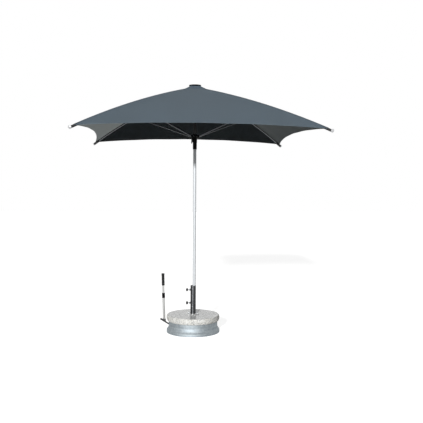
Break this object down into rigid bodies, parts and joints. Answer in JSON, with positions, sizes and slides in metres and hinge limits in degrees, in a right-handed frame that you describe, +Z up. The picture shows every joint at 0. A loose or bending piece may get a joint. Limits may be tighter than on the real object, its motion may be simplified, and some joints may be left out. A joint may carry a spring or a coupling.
{
  "type": "patio umbrella",
  "caption": "Square patio umbrella with a bowed slate cloth canopy on folding ribs, a slim pole clamped in a steel holder, and a round granite base with a skirt and a jack handle.",
  "frame": {"origin": "on the floor under the pole axis", "axes": "+Z up along the pole, canopy sides along X and Y, clamp knobs and jack handle on the -X side"},
  "size_m": [2.4306, 2.4306, 2.7188],
  "materials": {
    "canopy_cloth": "plain woven, slate grey",
    "pole_aluminium": "satin anodised",
    "rib_aluminium": "black anodised, semi-gloss",
    "tip_aluminium": "turned, bright",
    "black_plastic": "moulded, matte",
    "pin_steel": "bright",
    "galvanised_steel": "galvanised, satin",
    "granite": "polished top, hewn rim",
    "polished_stainless": "polished",
    "dark_steel": "dark grey paint",
    "grip_rubber": "ribbed, matte",
    "wheel_plastic": "matte"
  },
  "bodies": {
    "base": {"skirt": "galvanised_steel", "chassis_plate": "galvanised_steel", "granite_slab": "granite", "mast_holder": "polished_stainless", "flange_bolts": "pin_steel", "axle_bearings": "dark_steel"},
    "mast": {"pole": "pole_aluminium", "pole_foot_plug": "black_plastic", "crown_hub": "black_plastic", "crown_pins": "pin_steel", "top_cap": "black_plastic", "canopy": "canopy_cloth"},
    "runner": {"runner_hub": "black_plastic", "runner_sleeve": "black_plastic", "runner_pins": "pin_steel", "catch_pin": "pin_steel"},
    "catch": {"runner_catch": "black_plastic"},
    "jack": {"jack_lever": "dark_steel", "lift_axle_front": "dark_steel", "handle_tube": "polished_stainless"},
    "rear_axle": {"lift_axle_rear": "dark_steel"},
    "tie": {"tie_rod": "dark_steel"},
    "collar": {"handle_collar": "black_plastic"},
    "handle": {"handle_inner_tube": "polished_stainless", "handle_grip": "grip_rubber"},
    "rib_1": {"rib_1": "rib_aluminium", "rib_tip_1": "tip_aluminium", "strut_clamp_1": "black_plastic", "strut_pin_1": "pin_steel"},
    "strut_1": {"strut_1": "rib_aluminium"},
    "rib_2": {"rib_2": "rib_aluminium", "rib_tip_2": "tip_aluminium", "strut_clamp_2": "black_plastic", "strut_pin_2": "pin_steel"},
    "strut_2": {"strut_2": "rib_aluminium"},
    "rib_3": {"rib_3": "rib_aluminium", "rib_tip_3": "tip_aluminium", "strut_clamp_3": "black_plastic", "strut_pin_3": "pin_steel"},
    "strut_3": {"strut_3": "rib_aluminium"},
    "rib_4": {"rib_4": "rib_aluminium", "rib_tip_4": "tip_aluminium", "strut_clamp_4": "black_plastic", "strut_pin_4": "pin_steel"},
    "strut_4": {"strut_4": "rib_aluminium"},
    "pad_upper": {"clamp_pad_upper": "grip_rubber"},
    "knob_upper": {"clamp_knob_upper": "black_plastic", "clamp_screw_upper": "pin_steel"},
    "pad_lower": {"clamp_pad_lower": "grip_rubber"},
    "knob_lower": {"clamp_knob_lower": "black_plastic", "clamp_screw_lower": "pin_steel"},
    "wheel_front_left": {"wheel_front_left": "wheel_plastic"},
    "wheel_front_right": {"wheel_front_right": "wheel_plastic"},
    "wheel_rear_left": {"wheel_rear_left": "wheel_plastic"},
    "wheel_rear_right": {"wheel_rear_right": "wheel_plastic"}
  },
  "joints": [
    {"name": "mast_lift", "type": "slide", "parent": "base", "child": "mast", "axis": [0, 0, 1], "range_m": [0, 0.33]},
    {"name": "rib_1_fold", "type": "hinge", "parent": "mast", "child": "rib_1", "pos_m": [0.03394, 0.03394, 2.6723], "axis": [-0.7071, 0.7071, 0], "range_deg": [0, 69.15], "deforming": ["canopy"]},
    {"name": "strut_1_swing", "type": "hinge", "parent": "rib_1", "child": "strut_1", "pos_m": [0.64135, 0.64135, 2.41224], "axis": [-0.7071, 0.7071, 0], "range_deg": [-138.32, 0]},
    {"name": "rib_2_fold", "type": "hinge", "parent": "mast", "child": "rib_2", "pos_m": [-0.03394, 0.03394, 2.6723], "axis": [-0.7071, -0.7071, 0], "range_deg": [0, 69.15]},
    {"name": "strut_2_swing", "type": "hinge", "parent": "rib_2", "child": "strut_2", "pos_m": [-0.64135, 0.64135, 2.41224], "axis": [-0.7071, -0.7071, 0], "range_deg": [-138.32, 0]},
    {"name": "rib_3_fold", "type": "hinge", "parent": "mast", "child": "rib_3", "pos_m": [-0.03394, -0.03394, 2.6723], "axis": [0.7071, -0.7071, 0], "range_deg": [0, 69.15]},
    {"name": "strut_3_swing", "type": "hinge", "parent": "rib_3", "child": "strut_3", "pos_m": [-0.64135, -0.64135, 2.41224], "axis": [0.7071, -0.7071, 0], "range_deg": [-138.32, 0]},
    {"name": "rib_4_fold", "type": "hinge", "parent": "mast", "child": "rib_4", "pos_m": [0.03394, -0.03394, 2.6723], "axis": [0.7071, 0.7071, 0], "range_deg": [0, 69.15]},
    {"name": "strut_4_swing", "type": "hinge", "parent": "rib_4", "child": "strut_4", "pos_m": [0.64135, -0.64135, 2.41224], "axis": [0.7071, 0.7071, 0], "range_deg": [-138.32, 0]},
    {"name": "runner_level", "type": "hinge", "parent": "strut_1", "child": "runner", "pos_m": [0.03394, 0.03394, 2.15219], "axis": [-0.7071, 0.7071, 0], "range_deg": [0, 69.16]},
    {"name": "catch_press", "type": "hinge", "parent": "runner", "child": "catch", "pos_m": [-0.033, 0, 2.12219], "axis": [0, -1, 0], "range_deg": [0, 5], "stiffness_Nm_per_rad": 0.5},
    {"name": "pad_lower_slide", "type": "slide", "parent": "base", "child": "pad_lower", "axis": [-1, 0, 0], "range_m": [0, 0.006]},
    {"name": "knob_lower_turn", "type": "hinge", "parent": "pad_lower", "child": "knob_lower", "pos_m": [-0.07875, 0, 0.318], "axis": [-1, 0, 0], "range_deg": [0, 1440.1]},
    {"name": "pad_upper_slide", "type": "slide", "parent": "base", "child": "pad_upper", "axis": [-1, 0, 0], "range_m": [0, 0.006]},
    {"name": "knob_upper_turn", "type": "hinge", "parent": "pad_upper", "child": "knob_upper", "pos_m": [-0.07875, 0, 0.464], "axis": [-1, 0, 0], "range_deg": [0, 1440.1]},
    {"name": "jack_lower", "type": "hinge", "parent": "base", "child": "jack", "pos_m": [-0.15035, 0, 0.046], "axis": [0, -1, 0], "range_deg": [0, 30]},
    {"name": "rear_axle_turn", "type": "hinge", "parent": "base", "child": "rear_axle", "pos_m": [0.12965, 0, 0.046], "axis": [0, -1, 0], "range_deg": [0, 30.01]},
    {"name": "tie_rod_swing", "type": "hinge", "parent": "jack", "child": "tie", "pos_m": [-0.14258, 0, 0.07498], "axis": [0, -1, 0], "range_deg": [-30.01, 0]},
    {"name": "wheel_front_left_roll", "type": "hinge", "parent": "jack", "child": "wheel_front_left", "pos_m": [-0.19865, 0.1073, 0.05894], "axis": [0, 1, 0], "continuous": true},
    {"name": "wheel_front_right_roll", "type": "hinge", "parent": "jack", "child": "wheel_front_right", "pos_m": [-0.19865, -0.1073, 0.05894], "axis": [0, 1, 0], "continuous": true},
    {"name": "wheel_rear_left_roll", "type": "hinge", "parent": "rear_axle", "child": "wheel_rear_left", "pos_m": [0.08135, 0.1073, 0.05894], "axis": [0, 1, 0], "continuous": true},
    {"name": "wheel_rear_right_roll", "type": "hinge", "parent": "rear_axle", "child": "wheel_rear_right", "pos_m": [0.08135, -0.1073, 0.05894], "axis": [0, 1, 0], "continuous": true},
    {"name": "collar_twist", "type": "hinge", "parent": "jack", "child": "collar", "pos_m": [-0.33, 0, 0.118], "axis": [-0.029, 0, 0.9996], "range_deg": [0, 90]},
    {"name": "handle_extend", "type": "slide", "parent": "jack", "child": "handle", "axis": [-0.029, 0, 0.9996], "range_m": [-0.07, 0.14]}
  ],
  "couplings": [
    {"joint": "strut_1_swing", "follows": "rib_1_fold", "ratio": -2},
    {"joint": "rib_2_fold", "follows": "rib_1_fold", "ratio": 1},
    {"joint": "strut_2_swing", "follows": "rib_1_fold", "ratio": -2},
    {"joint": "rib_3_fold", "follows": "rib_1_fold", "ratio": 1},
    {"joint": "strut_3_swing", "follows": "rib_1_fold", "ratio": -2},
    {"joint": "rib_4_fold", "follows": "rib_1_fold", "ratio": 1},
    {"joint": "strut_4_swing", "follows": "rib_1_fold", "ratio": -2},
    {"joint": "runner_level", "follows": "rib_1_fold", "ratio": 1},
    {"joint": "knob_lower_turn", "follows": "pad_lower_slide", "rad_per_m": 4188.8},
    {"joint": "knob_upper_turn", "follows": "pad_upper_slide", "rad_per_m": 4188.8},
    {"joint": "rear_axle_turn", "follows": "jack_lower", "ratio": 1},
    {"joint": "tie_rod_swing", "follows": "jack_lower", "ratio": -1}
  ]
}
